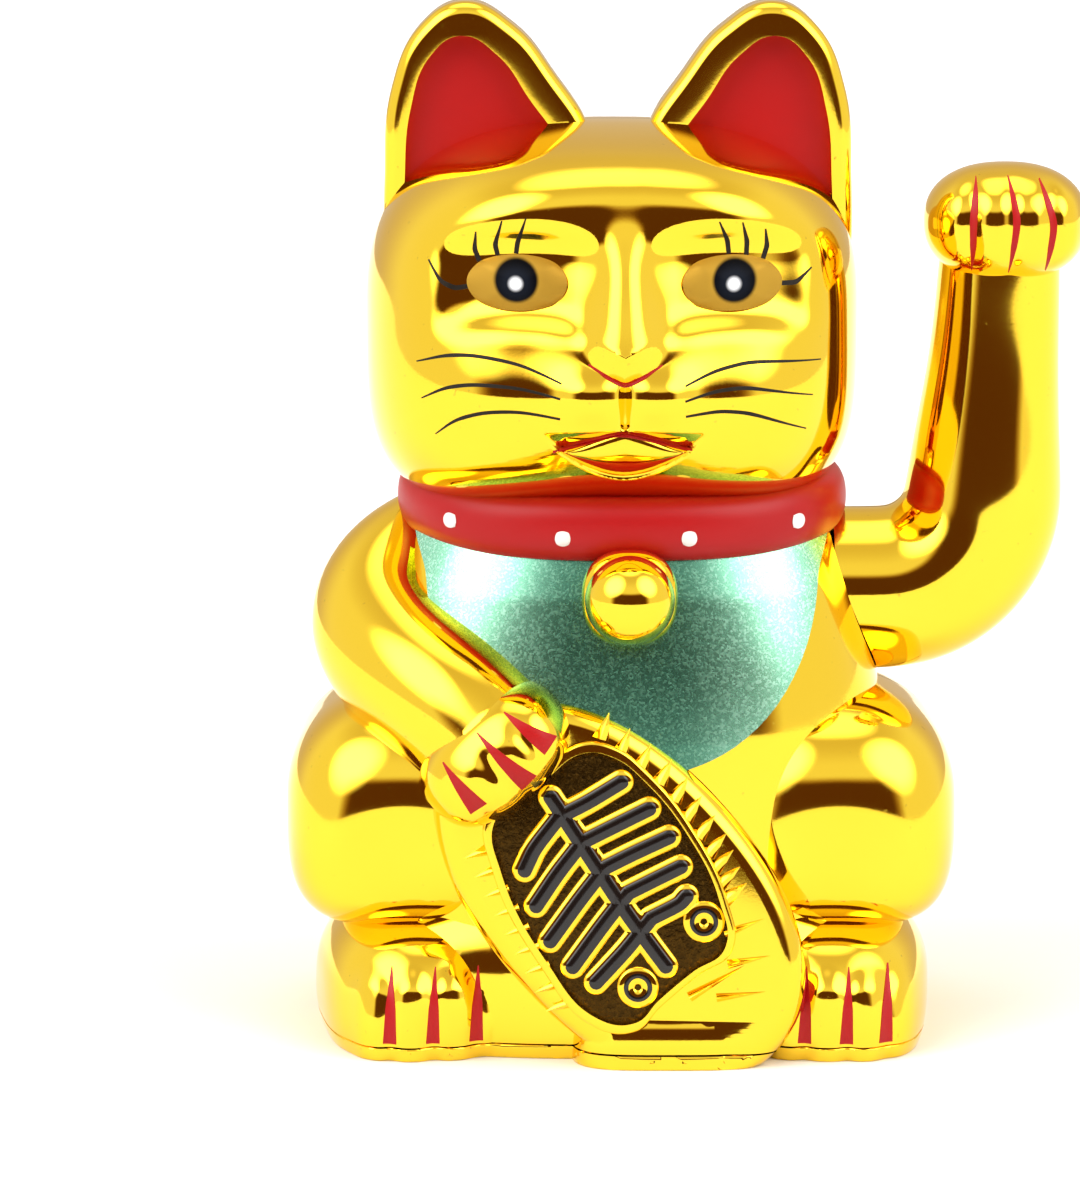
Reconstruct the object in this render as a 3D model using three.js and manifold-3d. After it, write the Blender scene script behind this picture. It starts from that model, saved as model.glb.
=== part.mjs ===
// Beckoning cat figurine: two chromed plastic half shells on a screwed base plate, with an arm
// that waves on a pendulum pushed by a coil, and one AA cell behind a sliding door underneath.
// Millimetres. The cat faces -Y, the waving arm is on +X, +Z is up, z = 0 is the table.
import * as THREE from 'three';
import { mergeVertices } from 'three/addons/utils/BufferGeometryUtils.js';
import Module from 'manifold-3d';

const wasm = await Module();
wasm.setup();

// ---- Driving dimensions ----
const HEIGHT = 150;
const WALL = 1.8;                 // moulded shell thickness
const GAP = 0.3;                  // clearance between pieces that touch
const PLATE = 2;                  // base plate thickness
const HEAD = { x: -1.2, forward: 0.5, up: 104.2, rx: 34.8, ry: 33, rz: 28.6 };
const HEAD_POWER = 2.7;
const HAUNCH = { x: 30.4, forward: 3, up: 33, rx: 18.4, ry: 27.5, rz: 17.8 };
const FOOT = { x: 31.5, forward: 13.5, up: 3, rx: 14.6, ry: 21.5, rz: 14.5 };
const SEAT = { rx: 45.5, ry: 34, rz: 25, up: 4 };
const COLLAR = { up: 76.3, rx: 31, ry: 27.2, half: 4.3 };
const BELL = { x: 0.9, forward: 31.5, up: 67.4, r: 6.5 };
const COIN = { x: -0.5, forward: 36.6, up: 24.6, long: 32.6, wide: 21.5, depth: 17, tilt: 48, lean: 5 };
const COIN_FOOT = { x: 6.5, forward: 26, up: 0, rx: 14, ry: 13, rz: 9 };
const EAR = { half: 5.2, bevel: 2, recess: 3 };

const AXIS_UP = 63.5;             // height of the arm's pivot axis
const SHOULDER_X = 34.5;          // flat seat on the body's side
const ARM = { root: 36, r: 12, wall: 1.5, elbowX: 51.5, wristX: 55.4, wristUp: 110, wristR: 8.9 };
const PAW = { x: 56, forward: 1.5, up: 118, rx: 12, ry: 10.5, rz: 8.6 };
const WAVE_SEAT_R = 13.2;         // radius of the seat that the arm turns in

const LEVER_X = 15;               // the pendulum swings in this plane
const PENDULUM_R = 40;            // pivot to the lever's lower tip
const AXLE_R = 1;
const HUB_R = 3.2;
const PEG = 5;                    // square peg that carries the arm

const CELL = { r: 7.1, length: 49.2, nub: 1.3, nubR: 2.7, forward: -16.2, up: 9.9 };
const BAY = { x0: -29.6, x1: 28.4, wall: 1.1, halfY: 7.4, roof: 17.4 };
const DOOR = { halfX: 29, front: -8.6, back: -36, thick: 1.6, tongue: 1.2 };
const BOARD = { x0: -2, x1: 29, y0: -9.4, y1: 6.6, up: 4.2, thick: 1.5 };
const COIL = { r: 6, coreR: 2.4, up: 6, height: 13.6, flange: 1 };

// ---- Finishes ----
const finish = (color, roughness, metalness) =>
  new THREE.MeshStandardMaterial({ color, roughness, metalness });
const GOLD = finish(0xe0aa2e, 0.08, 1);
const WHITE_PLASTIC = finish(0xe4e2da, 0.5, 0);
const STEEL = finish(0xb4b6b8, 0.3, 1);
const MAGNET = finish(0x55585c, 0.4, 0.8);
const COPPER = finish(0xb5632a, 0.35, 0.9);
const BOARD_GREEN = finish(0x2f6b46, 0.5, 0);
const BLACK = finish(0x1b1b1d, 0.45, 0);
const BLUE = finish(0x3a6ea5, 0.4, 0);
const RED = finish(0xb3261e, 0.45, 0);

const cat = new THREE.Group();

// ---- Solids: closed three.js geometries that manifold joins and cuts ----
function solid(geometry) {
  const bare = geometry.clone();
  bare.deleteAttribute('normal');
  bare.deleteAttribute('uv');
  const merged = mergeVertices(bare, 1e-4);
  return new wasm.Manifold(new wasm.Mesh({
    numProp: 3,
    vertProperties: new Float32Array(merged.attributes.position.array),
    triVerts: new Uint32Array(merged.index.array),
  }));
}

function geometryOf(body) {
  const mesh = body.getMesh();
  const geometry = new THREE.BufferGeometry();
  geometry.setAttribute('position', new THREE.BufferAttribute(mesh.vertProperties, 3));
  geometry.setIndex(new THREE.BufferAttribute(mesh.triVerts, 1));
  return geometry;
}

function addNode(name, body, material) {
  const mesh = new THREE.Mesh(geometryOf(body), material);
  mesh.name = name;
  cat.add(mesh);
}

const join = (...bodies) => bodies.reduce((all, body) => all.add(body));

// A box between two opposite corners.
function block(x0, y0, z0, x1, y1, z1) {
  const geometry = new THREE.BoxGeometry(Math.abs(x1 - x0), Math.abs(y1 - y0), Math.abs(z1 - z0));
  geometry.translate((x0 + x1) / 2, (y0 + y1) / 2, (z0 + z1) / 2);
  return solid(geometry);
}

// A cylinder with its axis along 'x', 'y' or 'z', from one end to the other.
function rod(axis, r, from, to, a, b, sides = 20) {
  const geometry = new THREE.CylinderGeometry(r, r, to - from, sides);
  geometry.translate(0, (from + to) / 2, 0);
  if (axis === 'x') geometry.rotateZ(-Math.PI / 2).translate(0, a, b);
  if (axis === 'y') geometry.translate(a, 0, b);
  if (axis === 'z') geometry.rotateX(Math.PI / 2).translate(a, b, 0);
  return solid(geometry);
}

// A rounded form between an ellipsoid (power 2) and a box (high power); forward is -Y.
function blob({ x = 0, forward = 0, up = 0, rx, ry, rz }, inset = 0, power = 2, across = 24) {
  const geometry = new THREE.SphereGeometry(1, across, Math.round(across * 0.6));
  geometry.rotateX(Math.PI / 2);
  const at = geometry.attributes.position;
  for (let i = 0; i < at.count; i += 1) {
    const [u, v, w] = [at.getX(i), at.getY(i), at.getZ(i)];
    const sum = Math.abs(u) ** power + Math.abs(v) ** power + Math.abs(w) ** power;
    const k = sum ** (-1 / power);
    at.setXYZ(i, x + u * k * (rx - inset), v * k * (ry - inset) - forward, up + w * k * (rz - inset));
  }
  return solid(geometry);
}

// A round limb with a tapering radius and domed ends, between two points.
function limb(start, end, r0, r1, inset = 0, sides = 20) {
  const length = start.distanceTo(end);
  const profile = [];
  for (let i = 0; i <= 5; i += 1) {
    const turn = (i / 5) * (Math.PI / 2);
    profile.push(new THREE.Vector2((r0 - inset) * Math.sin(turn), -(r0 - inset) * Math.cos(turn)));
  }
  for (let i = 5; i >= 0; i -= 1) {
    const turn = (i / 5) * (Math.PI / 2);
    profile.push(new THREE.Vector2((r1 - inset) * Math.sin(turn), length + (r1 - inset) * Math.cos(turn)));
  }
  profile[0].x = 0;
  profile[profile.length - 1].x = 0;
  const geometry = new THREE.LatheGeometry(profile, sides);
  const axis = new THREE.Vector3().subVectors(end, start).normalize();
  geometry.applyQuaternion(new THREE.Quaternion().setFromUnitVectors(new THREE.Vector3(0, 1, 0), axis));
  geometry.translate(start.x, start.y, start.z);
  return solid(geometry);
}

const at = (x, forward, up) => new THREE.Vector3(x, -forward, up);

// An outline drawn in the XZ plane, given its depth along Y with bevelled edges.
function slab(shape, front, back, bevel, curveSegments = 8) {
  const geometry = new THREE.ExtrudeGeometry(shape, {
    depth: front - back - 2 * bevel,
    bevelEnabled: bevel > 0,
    bevelThickness: bevel,
    bevelSize: bevel,
    bevelOffset: -bevel,
    bevelSegments: 2,
    curveSegments,
  });
  geometry.translate(0, 0, bevel);
  geometry.rotateX(Math.PI / 2);
  geometry.translate(0, -back, 0);
  return solid(geometry);
}

// ---- The cat's outer form, and the same form inset by the wall ----
// Torso: a turned shape, flattened from front to back.
function torso(inset) {
  const sides = inset ? 16 : 26;
  const outline = [[0, -4], [38, -4], [39, 16], [39, 36], [37.8, 50], [35.4, 62], [32.6, 72], [28, 82], [0, 86]];
  const profile = outline.map(([r, z]) => new THREE.Vector2(Math.max(r - inset, 0), z - (z > 80 ? inset : 0)));
  const geometry = new THREE.LatheGeometry(profile, sides);
  geometry.rotateX(Math.PI / 2);
  geometry.scale(1, 0.84, 1);
  return solid(geometry);
}

// One ear's outline, mirrored by side (-1 left of the viewer, +1 right), shrunk by inset.
function earShape(side, inset) {
  const s = (x) => side * x;
  const tip = HEIGHT - inset;
  const shape = new THREE.Shape();
  shape.moveTo(s(34.3 - inset), 108);
  shape.lineTo(s(34.3 - inset), 134 - inset);
  shape.bezierCurveTo(s(32.5 - inset), 145 - inset, s(27.5 - inset / 2), tip, s(22.5), tip);
  shape.bezierCurveTo(s(15.5 + inset / 2), tip, s(9.5 + inset), 142 - inset, s(4.4 + inset), 132 - inset);
  shape.lineTo(s(4.4 + inset), 116);
  shape.closePath();
  return shape;
}

// The hollow behind the ear stays a wall's thickness behind the painted recess.
function ear(side, inset) {
  const front = inset ? EAR.half - EAR.recess - inset : EAR.half;
  return slab(earShape(side, inset), front, inset - EAR.half, inset ? 0 : EAR.bevel, inset ? 3 : 5);
}

function coinShape(inset) {
  const shape = new THREE.Shape();
  const steps = 28;
  const power = 2.25;
  for (let i = 0; i < steps; i += 1) {
    const turn = (i / steps) * 2 * Math.PI;
    const [c, s] = [Math.cos(turn), Math.sin(turn)];
    const k = (Math.abs(c) ** power + Math.abs(s) ** power) ** (-1 / power);
    const point = new THREE.Vector2(c * k * (COIN.long - inset), s * k * (COIN.wide - inset));
    if (i === 0) shape.moveTo(point.x, point.y);
    else shape.lineTo(point.x, point.y);
  }
  shape.closePath();
  return shape;
}

// The oval coin held against the belly: its long axis runs down to the viewer's right.
function coin(inset) {
  const plate = slab(coinShape(inset), -inset, inset - COIN.depth, inset ? 0 : 2.4);
  return plate
    .rotate([0, COIN.tilt, 0])
    .rotate([COIN.lean, 0, 0])
    .translate([COIN.x, -COIN.forward, COIN.up]);
}

function forms(inset) {
  const big = inset ? 14 : 22;
  const small = inset ? 10 : 14;
  const parts = [torso(inset), blob(HEAD, inset, HEAD_POWER, big), coin(inset), ear(-1, inset), ear(1, inset)];
  parts.push(blob(SEAT, inset, 3.6, big + 4), blob(COIN_FOOT, inset, 4, small + 4));
  for (const side of [-1, 1]) {
    parts.push(blob({ ...HAUNCH, x: side * HAUNCH.x }, inset, 2.35, big));
    parts.push(blob({ ...FOOT, x: side * FOOT.x }, inset, 3, small + 4));
  }
  parts.push(limb(at(-28, 1, 64.5), at(-34, 9, 57), 13, 12.8, inset, small));
  parts.push(limb(at(-34, 9, 57), at(-20, 28, 45.5), 12.8, 9.6, inset, small));
  parts.push(blob({ x: -17.5, forward: 33.5, up: 42.5, rx: 9.8, ry: 8.6, rz: 8.6 }, inset, 2.2, small));
  return join(...parts);
}

// Collar band: a ring with a rounded outer face, closed round the neck.
function collar() {
  const profile = [];
  for (let i = 0; i <= 6; i += 1) {
    const turn = (i / 6 - 0.5) * Math.PI;
    profile.push(new THREE.Vector2(COLLAR.rx - 1.5 + 2.6 * Math.cos(turn), COLLAR.half * Math.sin(turn)));
  }
  profile.push(new THREE.Vector2(0, COLLAR.half));
  profile.unshift(new THREE.Vector2(0, -COLLAR.half));
  const geometry = new THREE.LatheGeometry(profile, 36);
  geometry.rotateX(Math.PI / 2);
  geometry.scale(1, COLLAR.ry / COLLAR.rx, 1);
  geometry.translate(0, -0.6, COLLAR.up);
  return solid(geometry);
}

const tail = limb(at(10, -30, 20), at(17, -31.5, 33), 5, 3.6, 0, 14);
const outside = join(forms(0), collar(), tail, blob({ ...BELL, rx: BELL.r, ry: BELL.r, rz: BELL.r }, 0, 2, 16));
const inside = forms(WALL);
const aboveTable = block(-70, -60, PLATE + GAP, 70, 60, HEIGHT + 10);
const armSeat = rod('x', WAVE_SEAT_R, SHOULDER_X, 80, 0, AXIS_UP, 28);
const armHole = rod('x', HUB_R + 2.2, 20, 80, 0, AXIS_UP, 20);
const shoulderBoss = rod('x', HUB_R + 5.2, SHOULDER_X - 4, SHOULDER_X, 0, AXIS_UP, 24);

// Painted recess of each ear.
function earRecess(side) {
  const shape = new THREE.Shape();
  const s = (x) => side * x;
  shape.moveTo(s(31), 120);
  shape.lineTo(s(30.6), 134);
  shape.bezierCurveTo(s(29.5), 141, s(26.5), 145.4, s(22.8), 145.4);
  shape.bezierCurveTo(s(17.5), 145.4, s(13), 139, s(9.5), 131);
  shape.lineTo(s(9.5), 120);
  shape.closePath();
  return slab(shape, 20, EAR.half - EAR.recess, 0, 4);
}

const skin = outside
  .subtract(inside)
  .intersect(aboveTable)
  .subtract(earRecess(-1).subtract(blob(HEAD, 0, HEAD_POWER, 22)))
  .subtract(earRecess(1).subtract(blob(HEAD, 0, HEAD_POWER, 22)))
  .add(shoulderBoss)
  .subtract(armSeat)
  .subtract(armHole);

// ---- Screw bosses moulded into the shells: they meet the base plate and the bracket ----
const BASE_SCREWS = [[-37, 14], [37, 14], [-38.5, -11], [38.5, -11]];   // x, forward
const BOSS_R = 3.2;
const SCREW_R = 1.2;
const BOSS_TOP = 14;
const BRACKET = { plateY: 10, thick: 1.6, below: 11.5, above: 6.5, x0: 4, x1: 26, ear: 2, halfEar: 5 };
const BRACKET_SCREWS = [-8, 3.5];  // heights from the axis

function baseBoss([x, forward]) {
  const post = rod('z', BOSS_R, PLATE + GAP, BOSS_TOP, x, -forward, 14);
  return post.add(block(x, -forward - 1, PLATE + GAP + 2, x + Math.sign(x) * 9, -forward + 1, BOSS_TOP));
}

const bossHoles = BASE_SCREWS.map(([x, forward]) => rod('z', SCREW_R, 0, BOSS_TOP - 2, x, -forward, 12));
const bracketBosses = BRACKET_SCREWS.map((up) =>
  rod('y', BOSS_R, BRACKET.plateY + BRACKET.thick + GAP, 33, LEVER_X, AXIS_UP + up, 14));
const bracketHoles = BRACKET_SCREWS.map((up) =>
  rod('y', SCREW_R, BRACKET.plateY, BRACKET.plateY + 9, LEVER_X, AXIS_UP + up, 12));
const withBosses = join(
  skin,
  join(...BASE_SCREWS.map(baseBoss), ...bracketBosses).intersect(outside),
).subtract(join(...bossHoles, ...bracketHoles));

const frontHalf = block(-80, -70, 0, 80, -GAP / 2, HEIGHT + 10);
const backHalf = block(-80, GAP / 2, 0, 80, 70, HEIGHT + 10);
addNode('front_shell', withBosses.intersect(frontHalf), GOLD);
addNode('back_shell', withBosses.intersect(backHalf), GOLD);

// ---- Base plate: follows the outline of the feet, carries the battery bay and the posts ----
const footprint = outside.intersect(block(-70, -60, 0, 70, 60, PLATE));
const bay = {
  y0: -CELL.forward - BAY.halfY,
  y1: -CELL.forward + BAY.halfY,
};
const bayWalls = block(BAY.x0 - BAY.wall, bay.y0 - BAY.wall, 1, BAY.x1 + BAY.wall, bay.y1 + BAY.wall,
  BAY.roof + BAY.wall)
  .subtract(block(BAY.x0, bay.y0, 0, BAY.x1, bay.y1, BAY.roof));
const doorLow = block(-DOOR.halfX - GAP, -DOOR.front - GAP, -1, DOOR.halfX + GAP, 60, 1);
const doorHigh = block(-DOOR.halfX - DOOR.tongue - GAP, -DOOR.front - GAP, 0.8,
  DOOR.halfX + DOOR.tongue + GAP, 60, PLATE + 0.2);
const cheeks = [-1, 1].map((side) => {
  const x = side * (DOOR.halfX + DOOR.tongue + GAP + 1);
  return block(x - 1, -DOOR.front - 1, 1, x + 1, bay.y1 + BAY.wall, PLATE + 3);
});
const boardPosts = [[1, -6.5], [26, -6.5], [1, 4]].map(([x, y]) => rod('z', 1.8, 1, BOARD.up - GAP, x, y, 12));
const screwSinks = BASE_SCREWS.map(([x, forward]) =>
  rod('z', SCREW_R + GAP, -1, PLATE + 1, x, -forward, 12).add(rod('z', 2.6, -1, 1.1, x, -forward, 14)));
addNode(
  'base_plate',
  join(footprint, bayWalls, ...cheeks, ...boardPosts)
    .subtract(join(doorLow, doorHigh.intersect(block(-60, -60, 0, 60, 60, PLATE + 0.1)), ...screwSinks))
    .subtract(block(BAY.x0, bay.y0, 0, BAY.x1, bay.y1, BAY.roof)),
  GOLD,
);

// ---- Battery door: slides out at the back on two side tongues ----
const doorBack = -DOOR.back;
const doorPanel = block(-DOOR.halfX, -DOOR.front, 0.15, DOOR.halfX, doorBack, 0.15 + DOOR.thick);
const doorTongues = block(-DOOR.halfX - DOOR.tongue, -DOOR.front, 1.15,
  DOOR.halfX + DOOR.tongue, doorBack, 0.15 + DOOR.thick);
const grips = [0, 1, 2].map((i) => block(-6, 24 + 2.4 * i, -1, 6, 25 + 2.4 * i, 0.6));
addNode(
  'battery_door',
  join(doorPanel, doorTongues).intersect(outside).subtract(join(...grips)),
  GOLD,
);

// ---- Screws: a countersunk-style flat head with its shank, one node each ----
function screwUp(x, forward) {
  const head = rod('z', 2.3, 0.15, 1, x, -forward, 14);
  const slot = block(x - 1.6, -forward - 0.3, -1, x + 1.6, -forward + 0.3, 0.5);
  return head.add(rod('z', SCREW_R - 0.25, 0.9, BOSS_TOP - 4, x, -forward, 10)).subtract(slot);
}
BASE_SCREWS.forEach(([x, forward], i) => addNode(`base_screw_${i + 1}`, screwUp(x, forward), STEEL));

function screwBack(up) {
  const head = rod('y', 2.3, BRACKET.plateY - 1.6 - GAP, BRACKET.plateY - GAP, LEVER_X, up, 14);
  return head.add(rod('y', SCREW_R - 0.25, BRACKET.plateY - 0.4, BRACKET.plateY + 8, LEVER_X, up, 10));
}
BRACKET_SCREWS.forEach((up, i) => addNode(`bracket_screw_${i + 1}`, screwBack(AXIS_UP + up), STEEL));

// ---- Pivot bracket: a plate on the back shell with two ears that carry the axle ----
const bracketPlate = block(BRACKET.x0, BRACKET.plateY, AXIS_UP - BRACKET.below,
  BRACKET.x1, BRACKET.plateY + BRACKET.thick, AXIS_UP + BRACKET.above);
const bracketEars = [BRACKET.x0, BRACKET.x1 - BRACKET.ear].map((x) =>
  block(x, -BRACKET.halfEar, AXIS_UP - BRACKET.halfEar, x + BRACKET.ear, BRACKET.plateY + 1,
    AXIS_UP + BRACKET.halfEar));
const bracketCuts = join(
  rod('x', AXLE_R + GAP, BRACKET.x0 - 1, BRACKET.x0 + BRACKET.ear + 1, 0, AXIS_UP, 16),
  rod('x', HUB_R + GAP, BRACKET.x1 - BRACKET.ear - 1, BRACKET.x1 + 1, 0, AXIS_UP, 20),
  ...BRACKET_SCREWS.map((up) => rod('y', SCREW_R + GAP, 5, 30, LEVER_X, AXIS_UP + up, 12)),
);
addNode('pivot_bracket', join(bracketPlate, ...bracketEars).subtract(bracketCuts), WHITE_PLASTIC);

// ---- Pendulum: lever with a hollow hub and square peg, steel axle, weight and magnet ----
const tipUp = AXIS_UP - PENDULUM_R;
const hub = rod('x', HUB_R, BRACKET.x0 + BRACKET.ear + 0.6, SHOULDER_X + 1.2, 0, AXIS_UP, 20);
const peg = block(SHOULDER_X, -PEG / 2, AXIS_UP - PEG / 2, SHOULDER_X + 11, PEG / 2, AXIS_UP + PEG / 2);
const blade = block(LEVER_X - 1.2, -3, tipUp + 8, LEVER_X + 1.2, 3, AXIS_UP);
const shoe = block(LEVER_X - 5.5, -6, tipUp + 6.4, LEVER_X + 5.5, 6, tipUp + 8.4);
const axleBore = rod('x', AXLE_R + GAP, 0, 24, 0, AXIS_UP, 16);
const magnetCup = rod('z', 5.5, tipUp, tipUp + 6.6, LEVER_X, 0, 20)
  .subtract(rod('z', 4.3, tipUp - 1, tipUp + 4.4, LEVER_X, 0, 20));
addNode('pendulum_lever', join(hub, peg, blade, shoe, magnetCup).subtract(axleBore), WHITE_PLASTIC);
addNode('pendulum_magnet', rod('z', 4, tipUp + 0.4, tipUp + 4.1, LEVER_X, 0, 20), MAGNET);
addNode('pivot_axle', rod('x', AXLE_R, BRACKET.x0 - 2.6, 23.4, 0, AXIS_UP, 14), STEEL);
const clip = rod('x', 2.6, BRACKET.x0 - 1.5, BRACKET.x0 - 0.7, 0, AXIS_UP, 16)
  .subtract(rod('x', AXLE_R + 0.1, -5, 10, 0, AXIS_UP, 14))
  .subtract(block(-10, -0.7, AXIS_UP - 4, 10, 0.7, AXIS_UP));
addNode('axle_clip', clip, STEEL);

// The counterweight is a folded steel block that straddles the blade above the shoe.
// It sits a little to the back, so that the forward paw doesn't tip the arm.
const WEIGHT = { x: 6.2, y: 0.91, halfY: 6, low: tipUp + 8.8, high: tipUp + 22 };
const weight = block(LEVER_X - WEIGHT.x, WEIGHT.y - WEIGHT.halfY, WEIGHT.low,
  LEVER_X + WEIGHT.x, WEIGHT.y + WEIGHT.halfY, WEIGHT.high)
  .subtract(block(LEVER_X - 1.5, -3.3, WEIGHT.low - 1, LEVER_X + 1.5, 10, WEIGHT.high + 1));
addNode('counterweight', weight, STEEL);

// ---- Waving arm: two chromed halves joined on the plane of the pivot ----
function armForm(inset) {
  const sleeve = rod('x', ARM.r - inset, ARM.root + (inset ? 2 : 0), ARM.elbowX, 0, AXIS_UP, inset ? 18 : 26);
  const elbow = blob({ x: ARM.elbowX, up: AXIS_UP, rx: ARM.r, ry: ARM.r, rz: ARM.r }, inset, 2, inset ? 14 : 20);
  const forearm = limb(at(52.4, 0, AXIS_UP + 3), at(ARM.wristX, 0, ARM.wristUp), 11.6, ARM.wristR, inset,
    inset ? 14 : 22);
  const paw = blob(PAW, inset, 2.3, inset ? 12 : 20);
  return join(sleeve, elbow, forearm, paw);
}
const toes = [-1.5, -0.5, 0.5, 1.5].map((i) =>
  blob({ x: PAW.x + i * 5.2, forward: 8, up: 115.8, rx: 3.2, ry: 5, rz: 7.4 }, 0, 2, 12));
const socket = block(ARM.root + 0.4, -PEG / 2 - 2, AXIS_UP - PEG / 2 - 2, SHOULDER_X + 13, PEG / 2 + 2,
  AXIS_UP + PEG / 2 + 2);
const socketHole = block(30, -PEG / 2 - GAP, AXIS_UP - PEG / 2 - GAP, SHOULDER_X + 11 + GAP, PEG / 2 + GAP,
  AXIS_UP + PEG / 2 + GAP);
const arm = join(armForm(0), ...toes).subtract(armForm(ARM.wall)).add(socket)
  .subtract(socketHole)
  .subtract(rod('x', HUB_R + GAP, 30, ARM.root + 0.4, 0, AXIS_UP, 20));
addNode('arm_front_half', arm.intersect(frontHalf), GOLD);
addNode('arm_back_half', arm.intersect(backHalf), GOLD);

// ---- Coil and circuit ----
const board = block(BOARD.x0, BOARD.y0, BOARD.up, BOARD.x1, BOARD.y1, BOARD.up + BOARD.thick);
addNode('circuit_board', board, BOARD_GREEN);
const boardTop = BOARD.up + BOARD.thick + GAP;
const coilTop = COIL.up + COIL.height;
const bobbin = join(
  rod('z', COIL.r, COIL.up, COIL.up + COIL.flange, LEVER_X, 0, 22),
  rod('z', COIL.r, coilTop - COIL.flange, coilTop, LEVER_X, 0, 22),
  rod('z', COIL.coreR, COIL.up, coilTop, LEVER_X, 0, 16),
);
addNode('coil_bobbin', bobbin, WHITE_PLASTIC);
const winding = rod('z', COIL.r - 0.5, COIL.up + COIL.flange + GAP, coilTop - COIL.flange - GAP, LEVER_X, 0, 22)
  .subtract(rod('z', COIL.coreR + GAP, 0, 30, LEVER_X, 0, 16));
addNode('coil_winding', winding, COPPER);

const transistor = rod('z', 2.3, boardTop + 1.5, boardTop + 6.2, 3.5, 1, 16)
  .subtract(block(0, -3, 0, 7, -0.4, 20))
  .add(block(2, 0, boardTop, 5, 1.2, boardTop + 2));
addNode('transistor', transistor, BLACK);
addNode('capacitor', rod('z', 2.5, boardTop, boardTop + 8, 24.6, -3, 18), BLUE);
addNode('resistor', rod('y', 1, -0.1, 5.6, 24.8, boardTop + 1.4, 14), RED);

// ---- Cell and its contacts ----
const cellX0 = -24.1;
const cell = rod('x', CELL.r, cellX0, cellX0 + CELL.length, -CELL.forward, CELL.up, 26)
  .add(rod('x', CELL.nubR, cellX0 + CELL.length - 0.5, cellX0 + CELL.length + CELL.nub, -CELL.forward, CELL.up, 16));
addNode('aa_cell', cell, BLUE);

// Negative contact: a conical wire spring on a flat tab that leaves the bay over its end wall.
function coneSpring() {
  const turns = 3.5;
  const points = [];
  for (let i = 0; i <= 56; i += 1) {
    const k = i / 56;
    const turn = k * turns * 2 * Math.PI;
    const r = 5.4 - 2.4 * k;
    points.push(new THREE.Vector3(BAY.x0 + 1.2 + 3.8 * k,
      -CELL.forward + r * Math.cos(turn), CELL.up + r * Math.sin(turn)));
  }
  const section = new THREE.Shape();
  section.absarc(0, 0, 0.4, 0, 2 * Math.PI);
  return solid(new THREE.ExtrudeGeometry(section, {
    extrudePath: new THREE.CatmullRomCurve3(points), steps: 48, curveSegments: 2, bevelEnabled: false,
  }));
}
const springTab = block(BAY.x0 + 0.3, -CELL.forward - 6, CELL.up - 6, BAY.x0 + 0.9, -CELL.forward + 6, BAY.roof - 0.4);
addNode('battery_spring', springTab.add(coneSpring()).add(
  block(BAY.x0 + 0.4, -CELL.forward + 5, CELL.up - 0.5, BAY.x0 + 1.6, -CELL.forward + 5.9, CELL.up + 0.5)), STEEL);
const plusTab = block(BAY.x1 - 0.9, -CELL.forward - 6, CELL.up - 6, BAY.x1 - 0.3, -CELL.forward + 6, BAY.roof - 0.4);
addNode('battery_contact_plus', plusTab.add(rod('x', 2, BAY.x1 - 2, BAY.x1 - 0.6, -CELL.forward, CELL.up, 14)), STEEL);

// ---- Leads from the two contacts to the board, inside the casing all the way ----
function lead(points) {
  const section = new THREE.Shape();
  section.absarc(0, 0, 0.6, 0, 2 * Math.PI);
  const path = new THREE.CatmullRomCurve3(points.map(([x, y, z]) => new THREE.Vector3(x, y, z)));
  return solid(new THREE.ExtrudeGeometry(section, {
    extrudePath: path, steps: 16, curveSegments: 3, bevelEnabled: false,
  }));
}
const overWall = BAY.roof + BAY.wall + 1.2;
addNode('lead_red', lead([
  [30.6, 18, 13], [31, 16, 18], [31, 11, overWall], [29.6, 5, 15], [28.4, 2, 9], [27.9, 1, boardTop + 0.2],
]), RED);
addNode('lead_black', lead([
  [-32.3, 18, 13], [-32.3, 16, 18], [-30, 9, overWall], [-20, 4, 17], [-8, 3, 11], [0.4, 2, boardTop + 0.4],
]), BLACK);

export default cat;
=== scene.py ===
import math

import bpy
import numpy as np
from mathutils import Matrix, Vector
from mathutils.bvhtree import BVHTree


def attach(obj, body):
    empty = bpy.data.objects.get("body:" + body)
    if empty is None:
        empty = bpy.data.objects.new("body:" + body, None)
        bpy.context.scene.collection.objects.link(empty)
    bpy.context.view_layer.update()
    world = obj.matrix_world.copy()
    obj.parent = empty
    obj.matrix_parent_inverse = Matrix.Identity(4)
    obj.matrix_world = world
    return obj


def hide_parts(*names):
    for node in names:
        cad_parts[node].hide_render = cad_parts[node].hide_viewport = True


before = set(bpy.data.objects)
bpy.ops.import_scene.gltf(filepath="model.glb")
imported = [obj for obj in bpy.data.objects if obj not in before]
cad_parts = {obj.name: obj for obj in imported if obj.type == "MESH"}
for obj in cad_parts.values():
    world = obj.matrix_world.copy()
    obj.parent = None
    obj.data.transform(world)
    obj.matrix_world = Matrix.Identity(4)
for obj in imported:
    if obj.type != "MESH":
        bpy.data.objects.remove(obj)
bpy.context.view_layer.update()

# Camera: level with the cat's chest and a little above it, far enough away to keep the
# sides straight. The cat stands right of the middle, as it would beside a size scale.
TILT, DISTANCE, SPAN, SENSOR = math.radians(10), 0.8, 0.1599, 36
aim = Vector((-0.01185, 0, 0.0621))
lens = bpy.data.cameras.new("camera")
lens.sensor_fit, lens.sensor_width, lens.lens = "HORIZONTAL", SENSOR, SENSOR * DISTANCE / SPAN
lens.clip_start, lens.clip_end = 0.01, 20
camera = bpy.data.objects.new("camera", lens)
camera.location = aim + DISTANCE * Vector((0, -math.cos(TILT), math.sin(TILT)))
camera.rotation_euler = (math.pi / 2 - TILT, 0, 0)
bpy.context.collection.objects.link(camera)
bpy.context.scene.camera = camera


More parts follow.
